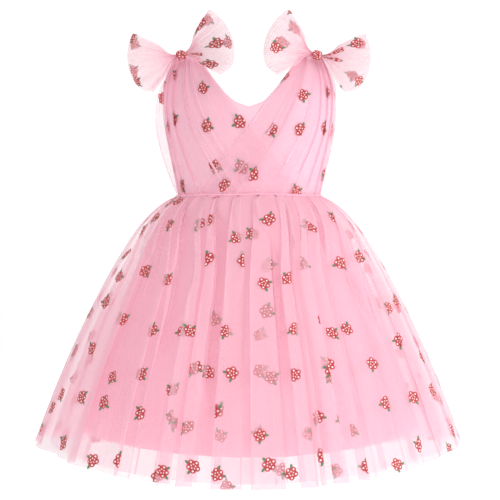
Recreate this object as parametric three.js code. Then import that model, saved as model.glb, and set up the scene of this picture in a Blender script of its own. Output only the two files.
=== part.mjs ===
// A toddler's party dress of net over a satin lining. Two gathered front panels cross below a V neck, a bow
// sits on each shoulder, and a full skirt of two nets is gathered on at the waist over a shorter lining.
// It is filled out as when worn, with nobody in it. Millimetres, +Z up. The front faces -Y and +X is the
// wearer's left. The origin lies midway between the two shoulder seams.
import * as THREE from "three";

const SEAM_GAP = 0.3;
const TURN = 2 * Math.PI;
const NEARBY = 0.01; // the step by which a surface's direction is found

// Cloth colours and finishes
const CLOTH = {
  satin: { color: 0xf7b9cd, roughness: 0.5, metalness: 0 },
  net: { color: 0xf9cbd9, roughness: 0.75, metalness: 0 },
};

// The bodice in level sections, from the waist seam to the shoulder seam. wide and deep are half sizes of
// the section at the lining's outer face, arm and neck are the half widths at which the armhole and the
// neckline cut it, and wrap is where a crossed panel's free edge runs, negative past the centre front.
const SECTIONS = [
  { z: -187.5, wide: 94, deep: 70, arm: 94, neck: 0, wrap: -70 },
  { z: -171, wide: 97, deep: 72.2, arm: 97, neck: 0, wrap: -58 },
  { z: -155, wide: 100, deep: 74, arm: 100, neck: 0, wrap: -45.5 },
  { z: -140, wide: 102.8, deep: 75.7, arm: 102.8, neck: 0, wrap: -33.3 },
  { z: -125, wide: 105.5, deep: 77, arm: 105.5, neck: 0, wrap: -21 },
  { z: -110, wide: 108, deep: 77.8, arm: 108, neck: 0, wrap: -9 },
  { z: -95, wide: 110.5, deep: 78, arm: 110.5, neck: 0, wrap: 2.5 },
  { z: -82, wide: 114.5, deep: 78, arm: 112, neck: 0, wrap: 11 },
  { z: -70.5, wide: 117, deep: 78, arm: 114, neck: 0, wrap: 19.5 },
  { z: -65, wide: 117.6, deep: 77.8, arm: 114.5, neck: 16, wrap: 23.5 },
  { z: -55.8, wide: 118.3, deep: 76.3, arm: 114.8, neck: 28.7, wrap: 30.5 },
  { z: -40.7, wide: 119, deep: 70.7, arm: 113.5, neck: 42.4, wrap: 42 },
  { z: -25.2, wide: 119, deep: 59.7, arm: 109, neck: 53.3, wrap: 53 },
  { z: -12.7, wide: 118, deep: 44.7, arm: 104.5, neck: 61, wrap: 60.7 },
  { z: -4.3, wide: 115, deep: 26.7, arm: 101, neck: 65.7, wrap: 65.4 },
  { z: 0, wide: 112, deep: SEAM_GAP, arm: 99, neck: 68, wrap: 67.7 },
];
const NECK_ROW = 8; // the section at which the V of the neck begins
const SHOULDER_ROW = SECTIONS.length - 1;
const ROUNDNESS = 2.4; // the power of the sections' super-ellipse
const WAIST = SECTIONS[0];

// Bodice layers, as distances out from the lining's outer face
const LINING_WALL = 1.4;
const NET_WALL = 1.2;
const BODICE_FOLD = 1.8; // the height of the gathers in the net
const UNDER_WRAP = 0.7; // where the lower crossed panel begins
const OVER_WRAP = 2 * UNDER_WRAP + NET_WALL + BODICE_FOLD; // and the upper one, where it crosses the lower
const LIFT = { from: 3, to: 18 }; // how far past the lower panel's edge the upper one comes down again
const FRONT_GATHERS = 7;
const BACK_GATHERS = 4;
const LINING_COLUMNS = 6; // on each side of the centre
const COLUMNS_PER_FOLD = 4;
const BACK_FLOAT = { right: 16, left: 5 }; // how far the loose back net stands off at each armhole
const FLOAT_SHAPE = { from: 0.45, fullness: 0.7 }; // where across the panel it starts, and how round it is

// The skirt, along the cloth from the waist seam: how far the outer net has come out at the side
const FLARE = [
  { along: 0, out: 0 },
  { along: 22, out: 19 },
  { along: 56, out: 44 },
  { along: 105, out: 72 },
  { along: 186, out: 111 },
  { along: 269, out: 146 },
  { along: 390, out: 190 },
];
const DEPTH_SHARE = 0.6; // the skirt comes out this much to the front and back, against the sides
const SIDE_RISE = 0.013; // the share by which the cloth is cut shorter at the sides
const BAND_GROWTH = 1.35; // each band of the mesh is deeper than the one above
const FOLD_DRIFT = [{ waves: 3, size: 0.8 }, { waves: 7, size: 0.4 }]; // how unevenly the folds are spaced
const FOLD_DEPTHS = { waves: 5, size: 0.2 }; // and how unevenly deep they are
const DROP_STEPS = 60;
const SKIRT_LAYERS = [
  {
    name: "skirt_over_net", cloth: "net", length: 390, ease: 4.5, flare: 1, wall: 1.6,
    folds: 52, foldTop: 0.35, foldGrowth: 0.034, bands: 5, phase: 0.7,
  },
  {
    name: "skirt_under_net", cloth: "net", length: 382, ease: 2, flare: 0.9, wall: 1.2,
    folds: 20, foldTop: 0.15, foldGrowth: 0.017, bands: 4, phase: 2.1,
  },
  {
    name: "skirt_lining", cloth: "satin", length: 346, ease: 0, flare: 0.73, wall: 1.4,
    folds: 16, foldTop: 0.1, foldGrowth: 0.018, bands: 3, phase: 4,
  },
];

// The shoulder bows. Angles are in degrees from straight out sideways, up positive, as seen from the front.
// lean and reach say how much a loop comes forward per millimetre down from the knot and out along the loop.
const KNOT = { x: 91, y: -34.6, z: -0.3, halfLong: 6.6, radius: 8.4, waisting: 0.12, sides: 10, rings: 6 };
const LOOPS = [
  { name: "outer_loop", toward: 1, middle: -15, spread: 40, radius: 72, lean: 0.35, reach: 0 },
  { name: "inner_loop", toward: -1, middle: 14.5, spread: 44, radius: 72, lean: 0.45, reach: 0.45 },
];
const LOOP_START = 7.25; // from the knot's centre
const LOOP_GATHERED = 0.5; // how much of its spread a loop has there
const LOOP_OPEN = 34; // and how far from the knot it has all of it
const LOOP_BULGE = { front: 13, back: 4 };
const LOOP_PLEATS = 3;
const LOOP_PLEAT_DEPTH = 2.6;
const LOOP_PLEATS_GROW = { from: 12, to: 45 }; // how far from the knot
const LOOP_ROWS = 12;
const LOOP_COLUMNS = 6;
const LOOP_PARTING = 1.6; // half the distance between a loop's two layers at the knot

const mix = (from, to, share) => from + (to - from) * share;
const radians = (degrees) => (degrees * Math.PI) / 180;
const smooth = (low, high, at) => THREE.MathUtils.smoothstep(at, low, high);

// A value read off a table between its rows, through the neighbouring rows as well
function between(table, key, column, at) {
  let row = table.findIndex((entry) => entry[key] >= at);
  row = Math.min(Math.max(row, 1), table.length - 1);
  const [before, low, high, after] = [row - 2, row - 1, row, row + 1].map(
    (index) => table[Math.min(Math.max(index, 0), table.length - 1)],
  );
  const slope = (a, b) => (b[key] === a[key] ? 0 : (b[column] - a[column]) / (b[key] - a[key]));
  const span = high[key] - low[key];
  const share = (at - low[key]) / span;
  const [square, cube] = [share * share, share ** 3];
  return (
    (2 * cube - 3 * square + 1) * low[column] +
    (cube - 2 * square + share) * span * slope(before, high) +
    (3 * square - 2 * cube) * high[column] +
    (cube - square) * span * slope(low, after)
  );
}

// The faces of a sheet of points in rows, all rows with the same number of points
function gridFaces(rows, columns, closed = false) {
  const faces = [];
  for (let row = 0; row < rows - 1; row++) {
    for (let column = 0; column < (closed ? columns : columns - 1); column++) {
      const next = (column + 1) % columns;
      const [a, b] = [row * columns + column, row * columns + next];
      faces.push([a, b, b + columns], [a, b + columns, a + columns]);
    }
  }
  return faces;
}

// A closed wall between two sheets of points that share their faces, with a rim along every free edge
function wallGeometry(outer, inner, faces) {
  const count = outer.length;
  const points = [...outer, ...inner];
  const rim = new Map();
  let index = [];
  for (const [a, b, c] of faces) {
    index.push([a, b, c], [a + count, c + count, b + count]);
    for (const [from, to] of [[a, b], [b, c], [c, a]]) {
      if (!rim.delete(`${to},${from}`)) rim.set(`${from},${to}`, [from, to]);
    }
  }
  for (const [from, to] of rim.values()) {
    index.push([to, from, from + count], [to, from + count, to + count]);
  }
  const volume = index.reduce(
    (sum, [a, b, c]) => sum + points[a].dot(new THREE.Vector3().crossVectors(points[b], points[c])),
    0,
  );
  if (volume < 0) index = index.map(([a, b, c]) => [a, c, b]);
  const geometry = new THREE.BufferGeometry().setFromPoints(points);
  geometry.setIndex(index.flat());
  geometry.computeVertexNormals();
  return geometry;
}

function clothMesh(name, cloth, geometry) {
  const material = new THREE.MeshStandardMaterial({ ...CLOTH[cloth], side: THREE.DoubleSide });
  const mesh = new THREE.Mesh(geometry, material);
  mesh.name = name;
  return mesh;
}

// A point on a level section. The angle is 0 at the centre front or back and a quarter turn at the side
function onSection(section, angle, facing) {
  const [across, along] = [Math.sin(angle), Math.cos(angle)];
  const size = (Math.abs(across) ** ROUNDNESS + Math.abs(along) ** ROUNDNESS) ** (-1 / ROUNDNESS);
  return new THREE.Vector3(section.wide * across * size, facing * section.deep * along * size, section.z);
}

// The angle at which a section is that far from the centre line
function angleAt(section, x) {
  const share = Math.min(Math.abs(x) / section.wide, 1) ** ROUNDNESS;
  const angle = share >= 1 ? Math.PI / 2 : Math.atan((share / (1 - share)) ** (1 / ROUNDNESS));
  return Math.sign(x) * angle;
}

// The bodice's outward direction there, level at the waist seam so that the layers end on one line
function outward(row, angle, facing) {
  const low = onSection(SECTIONS[Math.max(row - 1, 0)], angle, facing);
  const high = onSection(SECTIONS[Math.min(row + 1, SHOULDER_ROW)], angle, facing);
  const up = high.sub(low);
  const here = SECTIONS[row];
  const along = onSection(here, angle + NEARBY, facing).sub(onSection(here, angle - NEARBY, facing));
  const normal = new THREE.Vector3().crossVectors(along, up).multiplyScalar(-facing);
  if (row === 0) normal.z = 0;
  if (row === SHOULDER_ROW) normal.set(0, 0, 1);
  return normal.normalize();
}

// Where a bodice panel's points lie: between two edges, at two distances out from the lining's outer face
function bodicePoint(row, angle, facing, out) {
  const section = { ...SECTIONS[row] };
  if (row === 0) section.z += SEAM_GAP;
  return onSection(section, angle, facing).addScaledVector(outward(row, angle, facing), out);
}

// The front lining in one piece, split above the point of the V
function frontLining() {
  const [outer, inner, faces] = [[], [], []];
  const ids = SECTIONS.map((section, row) =>
    [-1, 1].map((side) => {
      const [neck, arm] = [section.neck, section.arm].map((x) => angleAt(section, x));
      return Array.from({ length: LINING_COLUMNS + 1 }, (_, column) => {
        if (side === 1 && column === 0 && row <= NECK_ROW) return null;
        const angle = side * mix(neck, arm, column / LINING_COLUMNS);
        inner.push(bodicePoint(row, angle, -1, -LINING_WALL));
        return outer.push(bodicePoint(row, angle, -1, 0)) - 1;
      });
    }),
  );
  ids.forEach(([right, left]) => {
    left[0] ??= right[0];
  });
  for (let row = 0; row < SHOULDER_ROW; row++) {
    for (const [index, side] of [-1, 1].entries()) {
      const [low, high] = [ids[row][index], ids[row + 1][index]];
      for (let column = 0; column < LINING_COLUMNS; column++) {
        const [a, b, c, d] = [low[column], low[column + 1], high[column + 1], high[column]];
        faces.push(...(side > 0 ? [[a, b, d], [b, c, d]] : [[b, a, d], [b, d, c]]));
      }
    }
  }
  return clothMesh("lining_front", "satin", wallGeometry(outer, inner, faces));
}

// A bodice panel in rows: edges gives its two edge angles in a section, and distances its wall's two faces
function bodicePanel(name, cloth, facing, columns, edges, distances) {
  const [outer, inner] = [[], []];
  for (let row = 0; row <= SHOULDER_ROW; row++) {
    const [first, last] = edges(SECTIONS[row], row);
    for (let column = 0; column <= columns; column++) {
      const angle = mix(first, last, column / columns);
      const [low, high] = distances(SECTIONS[row], angle, column / columns, column);
      inner.push(bodicePoint(row, angle, facing, low));
      outer.push(bodicePoint(row, angle, facing, high));
    }
  }
  return clothMesh(name, cloth, wallGeometry(outer, inner, gridFaces(SHOULDER_ROW + 1, columns + 1)));
}

// How high a gather stands at a column of the grid: a crest in the middle of each fold
const gather = (column) => BODICE_FOLD * (0.5 - 0.5 * Math.cos((TURN * column) / COLUMNS_PER_FOLD));

// A crossed front panel, from the side seam and armhole to its free edge past the centre
function wrapPanel(name, side, isUpper) {
  const edges = (section) => [angleAt(section, side * section.arm), angleAt(section, side * section.wrap)];
  const distances = (section, angle, share, column) => {
    const pastLower = side * onSection(section, angle, -1).x + section.wrap;
    const lift = isUpper ? (OVER_WRAP - UNDER_WRAP) * (1 - smooth(LIFT.from, LIFT.to, pastLower)) : 0;
    const low = UNDER_WRAP + lift;
    return [low, low + NET_WALL + gather(column)];
  };
  return bodicePanel(name, "net", -1, FRONT_GATHERS * COLUMNS_PER_FOLD, edges, distances);
}

// A back panel's two edges, just short of the centre back seam and of the front at the side seam
function backEdges(section, side) {
  const centre = angleAt(section, Math.max(section.neck, SEAM_GAP / 2));
  const sideSeam = Math.PI / 2 - SEAM_GAP / section.deep;
  return [side * centre, side * Math.min(angleAt(section, section.arm), sideSeam)];
}

// Half of the back lining, from the centre back seam
function backLining(label, side) {
  const edges = (section) => backEdges(section, side);
  return bodicePanel(`lining_back_${label}`, "satin", 1, LINING_COLUMNS, edges, () => [-LINING_WALL, 0]);
}

// Half of the back net, sewn in at the waist, shoulder and centre. It is loose at the armhole and stands off
function backNet(label, side) {
  const edges = (section) => backEdges(section, side);
  const distances = (section, angle, share, column) => {
    const round = Math.sin((Math.PI * section.z) / WAIST.z) ** FLOAT_SHAPE.fullness;
    const float = BACK_FLOAT[label] * round * smooth(FLOAT_SHAPE.from, 1, share);
    const low = UNDER_WRAP + float;
    return [low, low + NET_WALL + gather(column)];
  };
  return bodicePanel(`back_net_${label}`, "net", 1, BACK_GATHERS * COLUMNS_PER_FOLD, edges, distances);
}

// How far the cloth has dropped after a length along it, when it comes out by this share of the side's flare
function drop(along, share) {
  let fallen = 0;
  const step = along / DROP_STEPS;
  for (let index = 0; index < DROP_STEPS; index++) {
    const [from, to] = [index * step, (index + 1) * step];
    const out = share * (between(FLARE, "along", "out", to) - between(FLARE, "along", "out", from));
    fallen += Math.sqrt(Math.max(step * step - out * out, 0));
  }
  return fallen;
}

// A skirt layer: a gathered tube whose folds grow from the waist to the hem
function skirtLayer({ name, cloth, length, ease, flare, wall, folds, foldTop, foldGrowth, bands, phase }) {
  const columns = folds * COLUMNS_PER_FOLD;
  const [outer, inner] = [[], []];
  const top = { ...WAIST, wide: WAIST.wide + ease, deep: WAIST.deep + ease };
  for (let row = 0; row <= bands; row++) {
    for (let column = 0; column < columns; column++) {
      const around = (TURN * column) / columns;
      const wave = ({ waves, size }) => size * Math.sin(waves * around + phase);
      const drift = FOLD_DRIFT.reduce((sum, entry) => sum + wave(entry), 0);
      const angle = around + drift / folds;
      const [across, front] = [Math.sin(angle), -Math.cos(angle)];
      const along = length * (row / bands) ** BAND_GROWTH * (1 - SIDE_RISE * across ** 2);
      const out = flare * between(FLARE, "along", "out", along);
      const waist = onSection(top, angle, -1);
      const [wide, deep] = [top.wide + out, top.deep + DEPTH_SHARE * out];
      const normal = new THREE.Vector3(across / wide, front / deep, 0).normalize();
      const evenness = 1 - FOLD_DEPTHS.size + wave(FOLD_DEPTHS);
      const fold = (foldTop + foldGrowth * out) * evenness * Math.cos((TURN * column) / COLUMNS_PER_FOLD);
      const share = flare * Math.hypot(across, DEPTH_SHARE * front);
      const base = new THREE.Vector3(
        waist.x + out * across,
        waist.y + DEPTH_SHARE * out * front,
        top.z - drop(along, share),
      );
      outer.push(base.clone().addScaledVector(normal, fold));
      inner.push(base.addScaledVector(normal, fold - wall));
    }
  }
  return clothMesh(name, cloth, wallGeometry(outer, inner, gridFaces(bands + 1, columns, true)));
}

// A bow's loop: a strip of net that leaves the knot, turns back at its end and returns, fanned and pleated
function bowLoop(side, label, { name, toward, middle, spread, radius, lean, reach }) {
  const [outer, inner] = [[], []];
  const place = (share, across) => {
    const away = mix(LOOP_START, radius, Math.sin(Math.PI * share));
    const fan = mix(LOOP_GATHERED, 1, smooth(LOOP_START, LOOP_OPEN, away));
    const angle = radians(middle + spread * fan * across);
    const [x, z] = [KNOT.x + toward * away * Math.cos(angle), KNOT.z + away * Math.sin(angle)];
    const swell = Math.sin(TURN * share);
    const bulge = swell > 0 ? -LOOP_BULGE.front * swell : -LOOP_BULGE.back * swell;
    const grown = smooth(LOOP_PLEATS_GROW.from, LOOP_PLEATS_GROW.to, away);
    const pleat = LOOP_PLEAT_DEPTH * grown * Math.cos(Math.PI * LOOP_PLEATS * across);
    const parting = -LOOP_PARTING * Math.cos(Math.PI * share);
    const y = KNOT.y + lean * (z - KNOT.z) - reach * (away - LOOP_START) + bulge + parting + pleat;
    return new THREE.Vector3(side * x, y, z);
  };
  for (let row = 0; row <= LOOP_ROWS; row++) {
    for (let column = 0; column <= LOOP_COLUMNS; column++) {
      const [share, across] = [row / LOOP_ROWS, (2 * column) / LOOP_COLUMNS - 1];
      const here = place(share, across);
      const along = place(share + NEARBY, across).sub(place(share - NEARBY, across));
      const over = place(share, across + NEARBY).sub(place(share, across - NEARBY));
      const normal = along.cross(over).normalize();
      outer.push(here.clone().addScaledVector(normal, NET_WALL / 2));
      inner.push(here.addScaledVector(normal, -NET_WALL / 2));
    }
  }
  const faces = gridFaces(LOOP_ROWS + 1, LOOP_COLUMNS + 1);
  return clothMesh(`bow_${label}_${name}`, "net", wallGeometry(outer, inner, faces));
}

// The knot: a short wrap of net round the bow's middle, along the line of the two loops
function bowKnot(side, label) {
  const profile = [];
  for (let ring = 0; ring <= KNOT.rings; ring++) {
    const angle = (Math.PI * ring) / KNOT.rings;
    const radius = KNOT.radius * (1 - KNOT.waisting * Math.sin(angle) ** 4) * Math.sin(angle) ** 0.6;
    profile.push(new THREE.Vector2(radius, -KNOT.halfLong * Math.cos(angle)));
  }
  const mesh = clothMesh(`bow_${label}_knot`, "net", new THREE.LatheGeometry(profile, KNOT.sides));
  mesh.position.set(side * KNOT.x, KNOT.y, KNOT.z);
  mesh.rotation.set(0, -side * radians(LOOPS[0].middle), Math.PI / 2, "YZX");
  return mesh;
}

const dress = new THREE.Group();
dress.name = "toddler_party_dress";
dress.add(
  frontLining(),
  wrapPanel("front_wrap_right", -1, false),
  wrapPanel("front_wrap_left", 1, true),
);
for (const [side, label] of [[-1, "right"], [1, "left"]]) {
  dress.add(
    backLining(label, side),
    backNet(label, side),
    bowKnot(side, label),
    ...LOOPS.map((loop) => bowLoop(side, label, loop)),
  );
}
dress.add(...SKIRT_LAYERS.map(skirtLayer));

export default dress;
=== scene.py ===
import math
import random

import bmesh
import bpy
import numpy as np
from mathutils import Matrix, Vector


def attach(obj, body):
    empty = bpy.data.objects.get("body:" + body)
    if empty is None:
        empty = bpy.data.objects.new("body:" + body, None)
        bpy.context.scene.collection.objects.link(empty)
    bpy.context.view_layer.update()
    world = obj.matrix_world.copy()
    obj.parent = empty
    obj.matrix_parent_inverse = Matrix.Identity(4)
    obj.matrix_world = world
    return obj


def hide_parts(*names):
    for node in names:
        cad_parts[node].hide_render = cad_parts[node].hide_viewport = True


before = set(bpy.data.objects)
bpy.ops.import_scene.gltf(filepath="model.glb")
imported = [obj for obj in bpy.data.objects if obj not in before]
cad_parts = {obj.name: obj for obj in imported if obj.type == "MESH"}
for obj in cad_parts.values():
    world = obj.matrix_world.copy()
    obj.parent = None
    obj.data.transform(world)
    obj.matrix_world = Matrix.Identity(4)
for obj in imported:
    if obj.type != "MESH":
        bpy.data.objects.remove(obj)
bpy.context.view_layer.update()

MM = 0.001

# The camera
# It stands level with the middle of the dress and straight in front of it, and the photo's scale sets its
# lens: one pixel is 1.36 mm wide at the shoulders.
PHOTO_PIXELS = 500
PIXEL = 1.36 * MM
CAMERA_PLACE = Vector((0.0014, -2.2, -0.261))
SENSOR = 36

camera_data = bpy.data.cameras.new("camera")
camera_data.sensor_width = SENSOR
camera_data.lens = SENSOR * -CAMERA_PLACE.y / (PHOTO_PIXELS * PIXEL)
camera = bpy.data.objects.new("camera", camera_data)
camera.location = CAMERA_PLACE
camera.rotation_euler = (math.radians(90), 0, 0)
bpy.context.collection.objects.link(camera)
bpy.context.scene.camera = camera


# The studio
# A white floor that runs up into a white backdrop, with soft light, a little stronger from the right. Two
# classes write the finishes here and below: one builds a material, the other adds up its numbers.
class Value:
    def __init__(self, finish, socket):
        self.finish = finish
        self.socket = socket

    def math(self, operation, *others, **settings):
        inputs = dict(enumerate((self, *others)))
        return self.finish.node("ShaderNodeMath", {"operation": operation, **settings}, inputs)

    def __add__(self, other):
        return self.math("ADD", other)

    def __radd__(self, other):
        return self.math("ADD", other)

    def __mul__(self, other):
        return self.math("MULTIPLY", other)

    def __rmul__(self, other):
        return self.math("MULTIPLY", other)

    def __sub__(self, other):
        return self.math("SUBTRACT", other)

    def __rsub__(self, other):
        return (self * -1) + other

    def __truediv__(self, other):
        return self.math("DIVIDE", other)

    def __pow__(self, other):
        return self.math("POWER", other)

    def clamped(self):
        return self.math("ADD", 0.0, use_clamp=True)


class Finish:
    def __init__(self, name, **constants):
        self.material = bpy.data.materials.new(name)
        self.material.use_nodes = True
        self.tree = self.material.node_tree
        self.shader = self.tree.nodes["Principled BSDF"]
        for socket, value in constants.items():
            self.shader.inputs[socket.replace("_", " ").title()].default_value = value

    def node(self, kind, settings=None, inputs=None, output=0):
        made = self.tree.nodes.new(kind)
        for key, value in (settings or {}).items():
            setattr(made, key, value)
        for key, value in (inputs or {}).items():
            self.feed(made.inputs[key], value)
        return Value(self, made.outputs[output])

    def feed(self, socket, value):
        if isinstance(value, Value):
            self.tree.links.new(value.socket, socket)
        else:
            socket.default_value = value

    def set(self, name, value):
        self.feed(self.shader.inputs[name], value)

    def mix(self, factor, first, second):
        return self.node("ShaderNodeMix", {"data_type": "RGBA"}, {0: factor, 6: first, 7: second}, output=2)

    def vector(self, operation, first, second):
        return self.node("ShaderNodeVectorMath", {"operation": operation}, {0: first, 1: second})

    def parts(self, vector):
        split = self.node("ShaderNodeSeparateXYZ", {}, {0: vector})
        return split, Value(self, split.socket.node.outputs[1])

    def object_place(self):
        return self.node("ShaderNodeTexCoord", output="Object")

    def cloth_place(self):
        return self.node("ShaderNodeUVMap", {"uv_map": "cloth"})

    def noise(self, place, scale, detail=2.0):
        return self.node("ShaderNodeTexNoise", {}, {"Vector": place, "Scale": scale, "Detail": detail})

    def bump(self, height, strength, distance):
        inputs = {"Height": height, "Strength": strength, "Distance": distance}
        self.set("Normal", self.node("ShaderNodeBump", {}, inputs))


def colour(red, green, blue):
    """A colour as it looks, 0 to 255, for a shader."""
    parts = [part / 255 for part in (red, green, blue)]
    return (*(p / 12.92 if p <= 0.04045 else ((p + 0.055) / 1.055) ** 2.4 for p in parts), 1.0)


FLOOR_HEIGHT = -0.80
SWEEP_BACK = 4.6
SWEEP_RADIUS = 0.9
STAGE_WIDTH = 9.0
STAGE_FRONT = -3.5
STAGE_TOP = 4.0
CURVE_STEPS = 12

studio = Finish("studio_white", roughness=0.9, emission_strength=0.51)
paper = studio.noise(studio.object_place(), 3.0)
studio.set("Base Color", studio.mix(paper, colour(250, 250, 250), colour(255, 255, 255)))
studio.set("Emission Color", colour(255, 255, 255))

sweep = bmesh.new()
path = [(STAGE_FRONT, FLOOR_HEIGHT), (SWEEP_BACK - SWEEP_RADIUS, FLOOR_HEIGHT)]
for step in range(1, CURVE_STEPS + 1):
    turn = math.radians(90 * step / CURVE_STEPS)
    path.append((SWEEP_BACK - SWEEP_RADIUS + SWEEP_RADIUS * math.sin(turn),
                 FLOOR_HEIGHT + SWEEP_RADIUS * (1 - math.cos(turn))))
path.append((SWEEP_BACK, STAGE_TOP))
line = [sweep.verts.new((-STAGE_WIDTH / 2, y, z)) for y, z in path]
edges = [sweep.edges.new(pair) for pair in zip(line, line[1:])]
pulled = bmesh.ops.extrude_edge_only(sweep, edges=edges)["geom"]
moved = [part for part in pulled if isinstance(part, bmesh.types.BMVert)]
bmesh.ops.translate(sweep, verts=moved, vec=(STAGE_WIDTH, 0, 0))
for face in sweep.faces:
    face.smooth = True
floor_mesh = bpy.data.meshes.new("studio_floor")
sweep.to_mesh(floor_mesh)
floor = bpy.data.objects.new("studio_floor", floor_mesh)
floor.data.materials.append(studio.material)
bpy.context.collection.objects.link(floor)

world = bpy.data.worlds.new("studio")
world.use_nodes = True
world.node_tree.nodes["Background"].inputs["Color"].default_value = (1, 1, 1, 1)
world.node_tree.nodes["Background"].inputs["Strength"].default_value = 0.17
bpy.context.scene.world = world
bpy.context.scene.view_settings.view_transform = "Standard"
bpy.context.scene.cycles.transparent_max_bounces = 48

LIGHTS = (
    ("key_light", (2.3, -1.4, 0.5), 35.0, 0.9),
    ("fill_light", (-1.4, -1.9, 0.1), 6.5, 1.4),
    ("backdrop_light", (0.0, 0.2, 1.9), 30.0, 2.4),
)
for name, place, power, size in LIGHTS:
    lamp = bpy.data.lights.new(name, "AREA")
    lamp.energy = power
    lamp.size = size
    light = bpy.data.objects.new(name, lamp)
    light.location = place
    aim = Vector((0, 0, CAMERA_PLACE.z)) - Vector(place)
    light.rotation_euler = aim.to_track_quat("-Z", "Y").to_euler()
    bpy.context.collection.objects.link(light)


# The skirt's lining
# Opaque pink satin, gathered on at the waist and about 4 cm shorter than the nets over it. Its hem is
# turned up.
WAIST_HEIGHT = -187.5 * MM
WAIST_WIDE = 94 * MM
WAIST_DEEP = 70 * MM
ROUNDNESS = 2.4  # the power of the waist's and the bodice's super-ellipse
FLARE_ALONG = np.array([0, 22, 56, 105, 186, 269, 390, 420]) * MM  # along the cloth from the waist seam
FLARE_OUT = np.array([0, 19, 44, 72, 111, 146, 190, 200]) * MM  # how far it has come out at the side
DEPTH_SHARE = 0.6  # and the share of that at the front and back
SIDE_RISE = 0.013  # the cloth is cut a little shorter at the sides
FOLD_SPREAD = 0.24  # radians that the folds swing in toward the centre line below the waist
HELD_FLAT = 4 * MM  # below the seam, where the stitches still hold the cloth flat
SATIN_WALL = 0.5 * MM
TURN = 2 * math.pi
MAP_PARTS = 8  # parts of the cloth map round the skirt, each measured from its own middle
MAP_APART = np.array([0.37, 0.13])  # between one part's place in the print and the next's


def through(keys, values, at):
    """A smooth curve through a table's points."""
    slopes = np.gradient(values, keys)
    low = np.clip(np.searchsorted(keys, at) - 1, 0, len(keys) - 2)
    span = keys[low + 1] - keys[low]
    share = np.clip((at - keys[low]) / span, 0, 1)
    square, cube = share ** 2, share ** 3
    return ((2 * cube - 3 * square + 1) * values[low] + (cube - 2 * square + share) * span * slopes[low]
            + (3 * square - 2 * cube) * values[low + 1] + (cube - square) * span * slopes[low + 1])


def smooth(low, high, at):
    share = np.clip((at - low) / (high - low), 0, 1)
    return share * share * (3 - 2 * share)


def super_ellipse(angle):
    """Across and along the front-to-back line, for an angle from the centre."""
    across, along = np.sin(angle), np.cos(angle)
    size = (np.abs(across) ** ROUNDNESS + np.abs(along) ** ROUNDNESS) ** (-1 / ROUNDNESS)
    return across * size, along * size


class Folds:
    """Folds side by side, uneven in width, depth and lean. Each leans over its neighbour like a pleat."""

    def __init__(self, seed, count, uneven=0.45, turns=0.3, closed=True):
        chance = random.Random(seed)
        widths = np.array([1 + uneven * chance.uniform(-1, 1) for _ in range(count)])
        self.starts = np.concatenate([[0], np.cumsum(widths)]) / widths.sum()
        self.depths = np.array([chance.uniform(0.25, 1.25) for _ in range(count)])
        way = 1
        self.leans = np.zeros(count)
        for fold in range(count):
            way = -way if chance.random() < turns else way
            self.leans[fold] = way * chance.uniform(0.45, 1.3)
        self.around = 1 if closed else None

    def at(self, share):
        """How far out and how far over the cloth lies there, each -1 to 1, and the fold's width."""
        fold = np.clip(np.searchsorted(self.starts, share, side="right") - 1, 0, len(self.depths) - 1)
        width = self.starts[fold + 1] - self.starts[fold]
        wave = np.sin(TURN * (share - self.starts[fold]) / width)
        middles = (self.starts[1:] + self.starts[:-1]) / 2
        depth = np.interp(share, middles, self.depths, period=self.around)
        lean = np.interp(share, middles, self.leans, period=self.around)
        return depth * wave, lean * wave, width


def skirt_form(share, up, layer):
    """The smooth form of a skirt layer. share runs round it from the centre back, up from hem to waist."""
    angle = TURN * (share - 0.5)
    across, front = np.sin(angle), -np.cos(angle)
    along = layer["length"] * (1 - up) * (1 - SIDE_RISE * across ** 2)
    out = layer["flare"] * through(FLARE_ALONG, FLARE_OUT, along)
    fine = np.linspace(0, FLARE_ALONG[-1], 421)
    slope = np.gradient(through(FLARE_ALONG, FLARE_OUT, fine), fine)
    tilt = layer["flare"] * np.hypot(across[0], DEPTH_SHARE * front[0])
    fall = np.sqrt(np.maximum(1 - (tilt[:, None] * slope[None, :]) ** 2, 0))
    drops = np.cumsum(fall, axis=1) * (fine[1] - fine[0])
    drop = np.array([np.interp(along[:, c], fine, drops[c]) for c in range(up.shape[1])]).T
    wide, deep = WAIST_WIDE + layer["ease"], WAIST_DEEP + layer["ease"]
    ring = super_ellipse(angle)
    form = np.stack([wide * ring[0] + out * across, -deep * ring[1] + DEPTH_SHARE * out * front,
                     WAIST_HEIGHT - drop], axis=-1)
    level = np.stack([across / (wide + out), front / (deep + DEPTH_SHARE * out), 0 * out], axis=-1)
    level /= np.linalg.norm(level, axis=-1, keepdims=True)
    girth = math.pi * (wide + deep + (1 + DEPTH_SHARE) * out)
    return form, level, girth, along


def drawn_in(form, table):
    """How far the main creases draw the cloth in. Each is sharp on its left and soft on its right."""
    total = 0 * form[..., 0]
    for facing in (-1, 1):
        for top, low, wide, deep in table:
            x, z = -facing * form[..., 0] / MM, form[..., 2] / MM
            share = (z - top[1]) / (low[1] - top[1])
            beside = (x - top[0] - (low[0] - top[0]) * share) / (1 + wide * smooth(-0.05, 0.45, share))
            profile = smooth(-0.1, 0.02, beside) * (1 - smooth(0.55, 1.3, beside))
            strength = deep * MM * smooth(-0.02, 0.12, share) * (1 - smooth(0.7, 1, share))
            total = total + strength * profile * (facing * form[..., 1] > 0)
    return total


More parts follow.
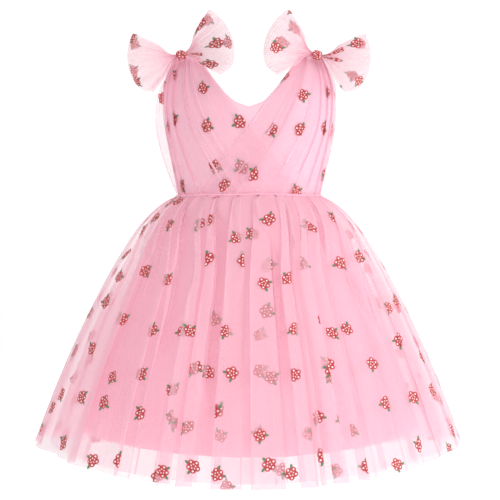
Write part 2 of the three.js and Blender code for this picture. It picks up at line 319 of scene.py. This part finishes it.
def skirt_points(share, up, layer):
    """The smooth form with its folds, its main creases and, near the waist, its fine gathers."""
    form, level, girth, along = skirt_form(share, up, layer)
    down = along / layer["length"]
    part = np.round((share[0] - 0.5) * MAP_PARTS)
    middle = np.searchsorted(share[0], 0.5 + part / MAP_PARTS)
    share = share + FOLD_SPREAD * smooth(0, 0.35, down) * np.sin(2 * TURN * (share - 0.5)) / TURN
    out, over, width = layer["folds"].at(share)
    flatter = 1 - 0.5 * np.sin(TURN * share) ** 2
    push = (layer["fold_top"] + (layer["fold_hem"] - layer["fold_top"]) * down ** 0.8) * out * flatter
    lap = layer["over_top"] + (layer["over_hem"] - layer["over_top"]) * down
    slide = girth * width / TURN * lap * over
    if "gathers" in layer:
        out, over, width = layer["gathers"].at(share)
        fade = 1 - smooth(layer["gather_from"], layer["gather_to"], along)
        push = push + layer["gather_depth"] * fade * out
        slide = slide + girth * width / TURN * 0.5 * fade * over
    if "creases" in layer:
        push = push - drawn_in(form, layer["creases"])
    settled = smooth(0, HELD_FLAT, along)
    sideways = np.stack([-level[..., 1], level[..., 0], level[..., 2]], axis=-1)
    points = form + level * (push * settled)[..., None] + sideways * (slide * settled)[..., None]
    steps = np.linalg.norm(np.diff(points, axis=1), axis=-1)
    along_row = np.concatenate([np.zeros((len(up), 1)), np.cumsum(steps, axis=1)], axis=1)
    packed = layer["cloth"] / along_row[:, -1:]
    flat = np.stack([along_row - along_row[:, middle], layer["length"] * up], axis=-1)
    flat = flat + (part % MAP_PARTS)[:, None] * MAP_APART
    side = np.sin(TURN * share) ** 4
    fullness = 1 + side * (layer["side_full"] * down ** 2.5 - 0.5 * (1 - smooth(0.2, 0.6, down)))
    return points, form, flat, packed * fullness


def skirt_grid(rows, columns):
    """A grid round the skirt. Where two parts of the cloth map meet it has two columns in one place."""
    meetings = (np.arange(MAP_PARTS) + 0.5) / MAP_PARTS
    shares = np.concatenate([np.linspace(0, 1, columns + 1), meetings - 1e-8, meetings + 1e-8])
    return np.meshgrid(np.sort(shares), np.linspace(0, 1, rows + 1))


def areas(points):
    """The cell area and the direction square to it, at each point of a grid."""
    square = np.cross(np.gradient(points, axis=1), np.gradient(points, axis=0))
    return np.linalg.norm(square, axis=-1), square


def thicknesses(points, form, packed):
    """How many thicknesses of the cloth one looks through square to its form: more where it is drawn up
    into gathers too fine to shape, and more where a fold turns it edge on."""
    area, square = areas(points)
    form_area, form_square = areas(form)
    facing = np.abs((square * form_square).sum(axis=-1)) / (area * form_area + 1e-15)
    return np.clip(packed, 0.5, 3) / np.clip(facing, 0.4, 1)


def valleys(points, form, inside, relief):
    """How deep each point lies in a fold: 0 on the ridges, 1 that far inside the smooth form."""
    area, square = areas(form)
    outward = square / (area[..., None] + 1e-15)
    outward = outward * np.sign((outward * (form - np.array(inside))).sum(axis=-1).mean())
    return smooth(0.12, 1, -((points - form) * outward).sum(axis=-1) / relief)


def cloth_object(name, points, form, flat, packed, finish, inside, closed=False, relief=13 * MM):
    """A sheet through a grid of points, its cloth map in metres, facing away from the inside point."""
    rows, columns, _ = points.shape
    sheet = bmesh.new()
    bmesh.ops.create_grid(sheet, x_segments=columns - 1, y_segments=rows - 1, size=0.5)
    layer = sheet.loops.layers.uv.new("cloth")
    folded = sheet.verts.layers.float.new("thicknesses")
    deep = sheet.verts.layers.float.new("valley")
    layers = thicknesses(points, form, packed)
    # How deep each point lies in its fold; the nets' finishes turn this into painted shade.
    depths = valleys(points, form, inside, relief)
    places = {}
    for vert in sheet.verts:
        column = round((vert.co.x + 0.5) * (columns - 1))
        row = round((vert.co.y + 0.5) * (rows - 1))
        places[vert] = (row, column)
        vert[folded] = layers[row, column]
        vert[deep] = depths[row, column]
    for face in sheet.faces:
        face.smooth = True
        for loop in face.loops:
            loop[layer].uv = flat[places[loop.vert]]
    for vert, place in places.items():
        vert.co = points[place]
    if closed:
        bmesh.ops.remove_doubles(sheet, verts=sheet.verts, dist=1e-6)
    sheet.normal_update()
    outward = 0
    for face in sheet.faces:
        outward += face.calc_area() * face.normal.dot(face.calc_center_median() - Vector(inside))
    if outward < 0:
        bmesh.ops.reverse_faces(sheet, faces=sheet.faces)
    mesh = bpy.data.meshes.new(name)
    sheet.to_mesh(mesh)
    sheet.free()
    piece = bpy.data.objects.new(name, mesh)
    piece.data.materials.append(finish.material)
    bpy.context.collection.objects.link(piece)
    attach(piece, "root")
    return piece


def thicken(piece, wall):
    wall_modifier = piece.modifiers.new("wall", "SOLIDIFY")
    wall_modifier.thickness = wall
    wall_modifier.offset = -1


def satin(name, shade, lighter, through=0.26):
    """Smooth satin: fine ribs of the weave, slow changes of tone, and a painted glow in its own colour of
    strength through.
    """
    finish = Finish(name, roughness=0.45, sheen_weight=0.15, sheen_roughness=0.4, emission_strength=through)
    tone = finish.mix(finish.noise(finish.object_place(), 9.0), shade, lighter)
    finish.set("Base Color", tone)
    # Painted glow: the satin's colour given off as light, making up for light that the nets over it hold
    # back.
    finish.set("Emission Color", tone)
    weave = finish.node("ShaderNodeTexWave", {}, {"Vector": finish.cloth_place(), "Scale": 700.0})
    finish.bump(weave, 0.12, 0.00005)
    return finish


lining_satin = satin("lining_satin", colour(242, 180, 198), colour(245, 188, 205))
SKIRT_MIDDLE = (0, 0, -0.4)
LINING = {
    "grid": (48, 300), "area": 0.35,
    "length": 346 * MM, "ease": 0.0, "flare": 0.78, "cloth": 1.25, "side_full": 0.0, "folds": Folds(11, 24),
    "fold_top": 0.3 * MM, "fold_hem": 3.2 * MM, "over_top": 0.2, "over_hem": 0.3,
}
lining_points = skirt_points(*skirt_grid(*LINING["grid"]), LINING)
lining = cloth_object("lining_skirt", *lining_points, lining_satin, SKIRT_MIDDLE, closed=True)
thicken(lining, SATIN_WALL)
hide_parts("skirt_lining")
flat_size = (LINING["cloth"], LINING["length"])


# The skirt's two nets
# Soft net, gathered on at the waist with fine gathers that open into broad folds. The inner net is plain
# and a little shorter. Both hems are cut edges. The outer net's print is scattered small red flowers with
# white dots and two green leaves, turned every way.
PRINT_EVERY = 64 * MM
PETALS = (5.0 * MM, 3.9 * MM, 0.0)  # how far out, how big and how far round
OUTER_DOTS = (5.9 * MM, 1.35 * MM, 0.0)
INNER_DOTS = (2.7 * MM, 0.95 * MM, 0.5)
CENTRE = 4.5 * MM
LEAVES = ({"out": 8.8 * MM, "long": 3.6 * MM, "wide": 1.9 * MM, "turn": 0.75},)
PRINT_EDGE = 0.3 * MM
PRINT_SCATTER = 0.62
HOLE = 1.1 * MM  # from one hole of the net to the next
PAINTED_GLOW = 0.2  # a painted glow in the cloth's own colour, standing in for the light that comes through the thin cloth from its other side


def flower_print(finish, place, every):
    """Where the print's petals, dots and leaves lie, each 0 to 1."""
    scattered = {"Vector": place, "Scale": 1 / every, "Randomness": PRINT_SCATTER}
    cells = finish.node("ShaderNodeTexVoronoi", {"voronoi_dimensions": "2D"}, scattered, output="Position")
    chance, other = finish.parts(Value(finish, cells.socket.node.outputs["Color"]))
    away = finish.vector("SUBTRACT", place, cells)
    turned = finish.node("ShaderNodeVectorRotate", {"rotation_type": "Z_AXIS"},
                         {"Vector": away, "Angle": chance * TURN})
    x, y = finish.parts(turned)
    size = 0.92 + other * 0.18
    x, y = x / size, y / size
    square = x * x + y * y
    from_centre = square ** 0.5
    fifths = y.math("ARCTAN2", x) / (TURN / 5)

    def ring_of_five(out, radius, begin):
        in_fifth = ((fifths + begin).math("FRACT") - 0.5) * (TURN / 5)
        near = (square + out ** 2 - from_centre * in_fifth.math("COSINE") * (2 * out)) ** 0.5
        return ((radius - near) / PRINT_EDGE).clamped()

    petals = ring_of_five(*PETALS).math("MAXIMUM", ((CENTRE - from_centre) / PRINT_EDGE).clamped())
    dots = ring_of_five(*OUTER_DOTS) + ring_of_five(*INNER_DOTS)
    leaves = 0.0
    for leaf in LEAVES:
        mirrored = y.math("ABSOLUTE")
        along = mirrored * math.sin(leaf["turn"]) - x * math.cos(leaf["turn"]) - leaf["out"]
        beside = mirrored * math.cos(leaf["turn"]) + x * math.sin(leaf["turn"])
        in_leaf = ((along / leaf["long"]) ** 2.0 + (beside / leaf["wide"]) ** 2.0) ** 0.5
        leaves = ((1 - in_leaf) / (PRINT_EDGE / leaf["wide"])).clamped() + leaves
    return petals, dots, leaves


def net(name, opacity, pale, deep, every=PRINT_EVERY, through=PAINTED_GLOW, painted_fold_shade=0.65):
    """Fine net of threads between small holes. It hides more, and is a deeper pink, where it lies in folds.
    The hollows of its folds also get painted shade, and the whole net a painted glow in its own colour.
    """
    finish = Finish(name, roughness=0.7, sheen_weight=0.1, sheen_roughness=0.5, emission_strength=through)
    place = finish.cloth_place()
    across, upward = finish.parts(place)
    cell = TURN / HOLE
    holes = (across * cell).math("COSINE")
    for lean in (-1, 1):
        holes = holes + (across * (cell / 2) + upward * (lean * cell * math.sqrt(3) / 2)).math("COSINE")
    threads = 0.5 - holes / 6
    layers = finish.node("ShaderNodeAttribute", {"attribute_name": "thicknesses"}, output="Fac")
    tone = finish.noise(finish.object_place(), 16.0)
    single = (threads * 0.3 + tone * 0.4 + 0.65) * opacity
    cover = 1 - (1 - single) ** layers
    valley = finish.node("ShaderNodeAttribute", {"attribute_name": "valley"}, output="Fac")
    # Deeper pink where more thicknesses lie over each other (the net's own colour), plus painted shade that
    # grows with how far into a fold's hollow the cloth lies.
    shade = finish.mix(((layers - 1) * 0.1 + valley * painted_fold_shade).clamped(), pale, deep)
    if every:
        petals, dots, leaves = flower_print(finish, place, every)
        sparkle = finish.noise(finish.object_place(), 1800.0, 0.0)
        shade = finish.mix(leaves, shade, finish.mix(sparkle, colour(66, 98, 66), colour(120, 150, 112)))
        shade = finish.mix(petals, shade, finish.mix(sparkle, colour(168, 26, 40), colour(214, 76, 84)))
        shade = finish.mix(dots, shade, colour(255, 240, 236))
        cover = cover.math("MAXIMUM", petals.math("MAXIMUM", leaves) * 0.97)
    finish.set("Base Color", shade)
    # Painted glow: the net's colour given off as light, standing in for light that comes through it from
    # behind.
    finish.set("Emission Color", shade)
    finish.set("Alpha", cover)
    finish.bump(threads, 0.1, 0.0001)
    return finish


# The nets' deep pink is both the colour where layers of net pile up and painted shade in the hollows of
# their folds.
PALE_PINK = colour(246, 205, 218)
SHADED_DEEP_PINK = colour(218, 132, 157)
inner_net = net("inner_skirt_net", 0.22, PALE_PINK, SHADED_DEEP_PINK, every=None)
outer_net = net("outer_skirt_net", 0.235, PALE_PINK, SHADED_DEEP_PINK)

# The main creases. Each row has its upper end and its lower end, both across and up in mm, then its width
# and its depth in mm. The front's are the ones in the photo, and the back has them turned round.
CREASES = (
    ((-80, -192), (-126, -440), 15, 8),
    ((-37, -192), (-50, -500), 20, 9),
    ((-60, -192), (-72, -380), 8, 3),
    ((-104, -200), (-215, -500), 20, 5),
    ((-10, -192), (-4, -470), 9, 3),
    ((19, -192), (32, -490), 13, 6),
    ((45, -195), (62, -400), 8, 4),
    ((84, -195), (140, -460), 12, 5),
    ((104, -205), (182, -480), 9, 5),
    ((112, -260), (240, -520), 16, 4),
)

NET_TAPER = 0.8  # the nets are cut narrower at the waist, which leaves this share of their rectangle
UNDER_NET = {
    "grid": (44, 640), "rests_on": "lining_skirt",
    "length": 382 * MM, "ease": 2 * MM, "flare": 0.93, "cloth": 2.3, "side_full": 1.0,
    "folds": Folds(23, 34), "fold_top": 0.5 * MM, "fold_hem": 3.5 * MM, "over_top": 2.2, "over_hem": 2.2,
    "gathers": Folds(24, 120), "gather_depth": 0.3 * MM, "gather_from": 10 * MM, "gather_to": 70 * MM,
}
OVER_NET = {
    "grid": (56, 1300), "rests_on": "net_skirt_inner",
    "length": 390 * MM, "ease": 4.5 * MM, "flare": 1.0, "cloth": 2.9, "side_full": 0.9,
    "folds": Folds(37, 38, uneven=0.6), "creases": CREASES,
    "fold_top": 1.4 * MM, "fold_hem": 4.5 * MM, "over_top": 3.0, "over_hem": 2.9,
    "gathers": Folds(38, 88), "gather_depth": 1.2 * MM, "gather_from": 12 * MM, "gather_to": 85 * MM,
}
inner_points = skirt_points(*skirt_grid(*UNDER_NET["grid"]), UNDER_NET)
outer_points = skirt_points(*skirt_grid(*OVER_NET["grid"]), OVER_NET)
under = cloth_object("net_skirt_inner", *inner_points, inner_net, SKIRT_MIDDLE, closed=True)
over = cloth_object("net_skirt_outer", *outer_points, outer_net, SKIRT_MIDDLE, closed=True)
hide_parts("skirt_under_net")
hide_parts("skirt_over_net")
for piece, layer in ((under, UNDER_NET), (over, OVER_NET)):
    flat_size = (layer["cloth"], layer["length"])
    flat_area = NET_TAPER * flat_size[0] * flat_size[1]


# The bodice's lining
# Satin under the nets: a front in one piece with a V neck and two halves behind, sewn at the shoulders, the
# sides, the centre back and the waist.
SECTIONS = {
    "z": np.array([-187.5, -155, -125, -95, -82, -70.5, -55.8, -40.7, -25.2, -12.7, -4.3, 0]) * MM,
    "wide": np.array([94, 100, 106, 111.5, 114, 116, 117.8, 119, 119, 118, 115, 112]) * MM,
    "deep": np.array([70, 74, 77, 78, 78, 78, 76.3, 70.7, 59.7, 44.7, 26.7, 0.3]) * MM,
    "arm": np.radians([90, 90, 90, 88.5, 81, 76, 72, 67.5, 61.5, 57.5, 56.7, 57.3]),
    "wrap": np.array([-70, -45.5, -21, 2.5, 11, 19.5, 30.5, 42, 53, 60.7, 65.4, 67.7]) * MM,
}
NECK_X = np.array([0, 10, 20, 28.7, 42.4, 53.3, 61, 65.7, 68]) * MM
NECK_Z = np.array([-71, -69.3, -64.5, -56.5, -40.7, -25.2, -12.7, -4.3, 0]) * MM
SECTION_STEPS = np.array([0, 30, 60, 90, 103, 115, 130, 146, 165, 184, 204, 231]) / 231
BODICE_LONG = 235 * MM  # up the cloth from the waist to the shoulder seam
BODICE_MIDDLE = (0, 0, -0.1)


def grid(rows, columns):
    """Across and up shares for a sheet of that many rows and columns of cells."""
    return np.meshgrid(np.linspace(0, 1, columns + 1), np.linspace(0, 1, rows + 1))


def section(name, up):
    return through(SECTION_STEPS, SECTIONS[name], up)


def neck_edge(up):
    """How far from the middle the neckline is at a height. It is rounded at the bottom of its V."""
    out = np.linspace(0, NECK_X[-1], 400)
    return np.interp(section("z", up), through(NECK_X, NECK_Z, out), out)


def side_line(up):
    """The angle of the side seam, carried on up to the shoulder seam's outer end. The folds follow it."""
    return math.pi / 2 - math.radians(32) * smooth(0.3, 0.9, up)


def angle_at(x, wide):
    share = np.minimum(np.abs(x) / wide, 1 - 1e-9) ** ROUNDNESS
    return np.sign(x) * np.arctan((share / (1 - share)) ** (1 / ROUNDNESS))


def on_bodice(up, angle, facing):
    ring = super_ellipse(angle)
    wide, deep = section("wide", up), section("deep", up)
    return np.stack([wide * ring[0], facing * deep * ring[1], section("z", up)], axis=-1)


def bodice_points(up, angle, facing, out, slide, cloth, anchor=0):
    """Points that far out from the lining's outer face and moved that far round it. The cloth map is
    measured from the row's anchored end."""
    step = 0.004
    form = on_bodice(up, angle, facing)
    round_it = on_bodice(up, angle + step, facing) - on_bodice(up, angle - step, facing)
    above, below = np.minimum(up + step, 1), np.maximum(up - step, 0)
    climb = on_bodice(above, angle, facing) - on_bodice(below, angle, facing)
    normal = np.cross(round_it, climb) * -facing
    normal[..., 2] *= smooth(0, 0.1, up)
    normal /= np.linalg.norm(normal, axis=-1, keepdims=True) + 1e-12
    round_it /= np.linalg.norm(round_it, axis=-1, keepdims=True) + 1e-12
    points = form + normal * (out + 0 * up)[..., None] + round_it * (slide + 0 * up)[..., None]
    steps = np.linalg.norm(np.diff(points, axis=1), axis=-1)
    along_row = np.concatenate([np.zeros((len(up), 1)), np.cumsum(steps, axis=1)], axis=1)
    way = np.sign(form[:1, -1:, 0] - form[:1, :1, 0])
    ends = along_row[:, [anchor]], form[:, [anchor], 0]
    flat = np.stack([(along_row - ends[0]) * way + ends[1], BODICE_LONG * up], axis=-1)
    return points, form, flat, np.clip(cloth / along_row[:, -1:], 1, None) ** 0.6 + 0 * up


# The bodice lining's painted glow is weaker than the skirt lining's.
bodice_satin = satin("bodice_satin", colour(250, 200, 215), colour(252, 207, 222), through=0.18)
for name, facing, nodes in (
    ("lining_bodice_front", -1, ["lining_front"]),
    ("lining_bodice_back", 1, ["lining_back_left", "lining_back_right"]),
):
    whole = bmesh.new()
    for side in (1, -1):
        share, up = grid(90, 36)
        wide = section("wide", up)
        neck = angle_at(neck_edge(up), wide)
        arm = section("arm", up)
        angle = side * (neck + (arm - neck) * share)
        points = bodice_points(up, angle, facing, 0, 0, 0)
        half = cloth_object(f"{name}_half", *points, bodice_satin, BODICE_MIDDLE)
        whole.from_mesh(half.data)
        bpy.data.meshes.remove(half.data)
    bmesh.ops.remove_doubles(whole, verts=whole.verts, dist=1e-6)
    mesh = bpy.data.meshes.new(name)
    whole.to_mesh(mesh)
    piece = bpy.data.objects.new(name, mesh)
    piece.data.materials.append(bodice_satin.material)
    bpy.context.collection.objects.link(piece)
    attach(piece, "root")
    thicken(piece, SATIN_WALL)
    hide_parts(*nodes)


# The crossed front panels
# Printed net over the lining. Each is gathered into its shoulder and fans out to the waist, the left one
# over the right.
# The bodice net's dark mauve deep colour, at full weight, is strong painted shade in the hollows of its
# folds; its painted glow is weak.
bodice_net = net("bodice_net", 0.28, colour(249, 204, 219), colour(184, 116, 144), through=0.1, painted_fold_shade=1.0)
WRAP_FOLDS = 9
WRAP_CLOTH = 260 * MM
NET_OUT = 1.6 * MM  # from the lining to the net over it
FOLD_DEEP = 2.0 * MM
LIFT = 3.2 * MM  # of the upper panel where it lies on the lower one
SHOULDER_RISE = 2.5 * MM  # where the gathers are drawn together
BODICE_RELIEF = 2.4 * MM  # the depth at which a fold has its darkest painted shade


def moved_print(points, form, flat, packed, steps):
    """The same sheet, cut from another place in the printed net."""
    return points, form, flat + steps * MAP_APART, packed


for label, side, lift in (("right", -1, 0.0), ("left", 1, LIFT)):
    share, up = grid(70, 300)
    wide = section("wide", up)
    arm = section("arm", up)
    free = angle_at(section("wrap", up), wide)
    angle = side * (arm + (free - arm) * share)
    past_lower = side * on_bodice(up, angle, -1)[..., 0] + section("wrap", up)
    raised = NET_OUT + lift * (1 - smooth(3 * MM, 18 * MM, past_lower))
    across = (side_line(up) - side * angle) / (side_line(up) - free)
    out, over, width = Folds(50 + side, WRAP_FOLDS, uneven=0.6, closed=False).at(across)
    held = smooth(0, 0.05, share) * smooth(0, 0.05, 1 - share)
    push = FOLD_DEEP * out * held + SHOULDER_RISE * smooth(0.88, 1, up)
    slide = -side * width * (side_line(up) - free) * wide / TURN * (1.1 + 1.4 * up) * over * held
    points = moved_print(*bodice_points(up, angle, -1, raised + push, slide, WRAP_CLOTH, -1), side)
    piece = cloth_object(f"net_front_{label}", *points, bodice_net, BODICE_MIDDLE, relief=BODICE_RELIEF)
    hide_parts(f"front_wrap_{label}")
    flat_size = (WRAP_CLOTH, BODICE_LONG)


# The back nets
# Two halves over the back lining, sewn at the centre, the waist and the shoulders. They are loose at the
# armholes and stand out a little at the sides, the right one more.
BACK_FLOAT = {"left": 4 * MM, "right": 14 * MM}
BACK_CLOTH = 200 * MM
BACK_FOLDS = 9
BACK_FOLD_DEEP = 1.5 * MM

for label, side in (("right", -1), ("left", 1)):
    share, up = grid(60, 160)
    wide = section("wide", up)
    neck = angle_at(neck_edge(up), wide)
    arm = section("arm", up)
    angle = side * (neck + (arm - neck) * share)
    float_out = BACK_FLOAT[label] * np.sin(math.pi * np.clip(section("z", up) / WAIST_HEIGHT, 0, 1)) ** 0.7
    across = (side * angle - neck) / (side_line(up) - neck)
    out, over, width = Folds(70 + side, BACK_FOLDS, closed=False).at(across)
    held = smooth(0, 0.05, share) * smooth(0, 0.05, 1 - share)
    slide = side * width * (side_line(up) - neck) * wide / TURN * 1.3 * over * held
    distance = NET_OUT + float_out * smooth(0.45, 1, share) + BACK_FOLD_DEEP * out * held
    distance = distance + SHOULDER_RISE * smooth(0.88, 1, up)
    points = moved_print(*bodice_points(up, angle, 1, distance, slide, BACK_CLOTH), 3 + side)
    piece = cloth_object(f"net_back_{label}", *points, bodice_net, BODICE_MIDDLE, relief=BODICE_RELIEF)
    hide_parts(f"back_net_{label}")
    flat_size = (BACK_CLOTH, BODICE_LONG)


# The waist seam
# The edges of the nets caught between bodice and skirt, a thin soft ridge that runs a little unevenly.
SEAM_THICK = 1.1 * MM
SEAM_OUT = 5.2 * MM  # from the waist of the lining
SEAM_DROP = 0.4 * MM
SEAM_LONG = 0.53
WOBBLE = 0.3 * MM

share, up = grid(8, 260)
waist_angle = TURN * (share - 0.5)
round_seam = TURN * up
ring = super_ellipse(waist_angle)
wobble = WOBBLE * (np.sin(3 * waist_angle + 1) + np.sin(7 * waist_angle) + 0.6 * np.sin(17 * waist_angle))
seam_height = WAIST_HEIGHT - SEAM_DROP + wobble
grown = SEAM_OUT + SEAM_THICK * np.cos(round_seam)
seam_points = np.stack([(WAIST_WIDE + grown) * ring[0], -(WAIST_DEEP + grown) * ring[1],
                        seam_height + SEAM_THICK * np.sin(round_seam)], axis=-1)
seam_map = np.stack([SEAM_LONG * share, 2 * SEAM_THICK * up], axis=-1)
seam_cloth = satin("waist_seam_net", colour(240, 172, 194), colour(247, 190, 208))
seam_form = (seam_points, seam_points, seam_map, 1)
seam = cloth_object("waist_seam", *seam_form, seam_cloth, BODICE_MIDDLE, closed=True)


# The shoulder bows
# Each is a strip of the same net folded into two loops, drawn in at the middle by a wrapped knot and sewn
# down on the shoulder.
KNOT = Vector((91, -34.6, -0.3)) * MM
KNOT_LONG = 6.6 * MM
KNOT_RADIUS = 7.6 * MM
KNOT_GATHER = 2.4  # how far the cloth is drawn up round the knot
KNOT_RINGS = 24
KNOT_SIDES = 48
KNOT_CREASE = 0.1  # of its radius
KNOT_CREASE_WIDE = 3.1 * MM
LOOP_START = 6.5 * MM
LOOP_OPEN = 34 * MM  # how far from the knot a loop has its full spread
BULGE_FRONT = 13 * MM
BULGE_BACK = 4 * MM
LAYERS_APART = 1.6 * MM
LOOP_FOLDS = 7
LOOP_FLAT = (124 * MM, 98 * MM)
LOOP_RADIUS = 72 * MM
LOOPS = (
    {"name": "outer", "toward": 1, "middle": -15, "spread": 40, "lean": 0.35, "reach": 0.0},
    {"name": "inner", "toward": -1, "middle": 14.5, "spread": 44, "lean": 0.45, "reach": 0.45},
)

# The bows' net has a weaker painted glow than the skirt's.
bow_net = net("bow_net", 0.29, colour(248, 200, 212), colour(226, 150, 174), every=48 * MM, through=0.14)
# The knot net's deep colour is painted shade in the knot's creases.
knot_net = net("knot_net", 0.8, colour(236, 178, 194), colour(186, 106, 130), every=15 * MM)


def loop_points(share, up, side, loop, folds):
    """share runs out along the loop and back, up across its breadth."""
    across = 2 * up - 1
    radius = LOOP_RADIUS * (1 - 0.13 * smooth(0.45, 1, -across) ** 2)
    away = LOOP_START + (radius - LOOP_START) * np.sin(math.pi * share) ** 0.8
    open_out = smooth(LOOP_START, LOOP_OPEN, away)
    spread = np.radians(loop["spread"]) * (0.45 + 0.55 * open_out)
    angle = np.radians(loop["middle"]) + spread * across
    x = KNOT.x + loop["toward"] * away * np.cos(angle)
    z = KNOT.z + away * np.sin(angle)
    swell = np.sin(TURN * share)
    bulge = np.where(swell > 0, -BULGE_FRONT * swell, -BULGE_BACK * swell)
    y = KNOT.y + loop["lean"] * (z - KNOT.z) - loop["reach"] * (away - LOOP_START) + bulge
    y = y - LAYERS_APART * np.cos(math.pi * share)
    form = np.stack([side * x, y, z], axis=-1)
    out, over, width = folds.at(up + 0.04 * np.sin(TURN * share))
    ripple = (0.7 + 1.0 * smooth(8 * MM, 60 * MM, away)) * MM * out
    points = form + np.stack([0 * x, ripple, 0 * x], axis=-1)
    flat = np.stack([share * LOOP_FLAT[0], up * LOOP_FLAT[1]], axis=-1)
    breadth = 2 * spread * away
    return points, form, flat, np.clip(LOOP_FLAT[1] / breadth, 1, None) ** 0.8


for label, side in (("right", -1), ("left", 1)):
    for loop in LOOPS:
        seed = 90 + 2 * side + loop["toward"]
        folds = Folds(seed, LOOP_FOLDS, uneven=0.6, closed=False)
        points, form, flat, packed = loop_points(*grid(100, 60), side, loop, folds)
        flat = flat + np.array([0.31 * side, 0.17 * loop["toward"]])
        middle = tuple(form.reshape(-1, 3).mean(axis=0))
        name = f"bow_{label}_{loop['name']}"
        piece = cloth_object(name, points, form, flat, packed, bow_net, middle, relief=1)
        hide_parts(f"{name}_loop")
    knot = bmesh.new()
    profile = []
    for ring in range(KNOT_RINGS + 1):
        turn = math.pi * ring / KNOT_RINGS
        radius = KNOT_RADIUS * (1 - 0.12 * math.sin(turn) ** 4) * math.sin(turn) ** 0.6
        profile.append(knot.verts.new((-KNOT_LONG * math.cos(turn), radius, 0)))
    edges = [knot.edges.new(pair) for pair in zip(profile, profile[1:])]
    bmesh.ops.spin(knot, geom=profile + edges, axis=(1, 0, 0), cent=(0, 0, 0), angle=TURN,
                   steps=KNOT_SIDES, use_merge=True)
    bmesh.ops.remove_doubles(knot, verts=knot.verts, dist=1e-6)
    knot.verts.index_update()
    creases = {}
    for vert in knot.verts:
        turn = math.atan2(vert.co.z, vert.co.y)
        wave = math.sin(TURN * vert.co.x / KNOT_CREASE_WIDE + 1.6 * math.sin(turn) + side)
        creases[vert.index] = wave
        vert.co.y *= 1 + KNOT_CREASE * wave
        vert.co.z *= 1 + KNOT_CREASE * wave
    tilt = Matrix.Rotation(-math.radians(LOOPS[0]["middle"]) * side, 3, "Y")
    bmesh.ops.rotate(knot, verts=knot.verts, cent=(0, 0, 0), matrix=tilt)
    bmesh.ops.translate(knot, verts=knot.verts, vec=(side * KNOT.x, KNOT.y, KNOT.z))
    bmesh.ops.recalc_face_normals(knot, faces=knot.faces)
    layer = knot.loops.layers.uv.new("cloth")
    folded = knot.verts.layers.float.new("thicknesses")
    deep = knot.verts.layers.float.new("valley")
    for vert in knot.verts:
        vert[folded] = 1.0
        # The inward parts of the creases get the net's painted fold shade.
        vert[deep] = 0.5 - 0.5 * creases[vert.index]
    for face in knot.faces:
        face.smooth = True
        for corner in face.loops:
            corner[layer].uv = (0.9 * corner.vert.co.x, KNOT_GATHER * corner.vert.co.z)
    mesh = bpy.data.meshes.new(f"bow_{label}_knot_net")
    knot.to_mesh(mesh)
    piece = bpy.data.objects.new(mesh.name, mesh)
    piece.data.materials.append(knot_net.material)
    bpy.context.collection.objects.link(piece)
    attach(piece, "root")
    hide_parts(f"bow_{label}_knot")
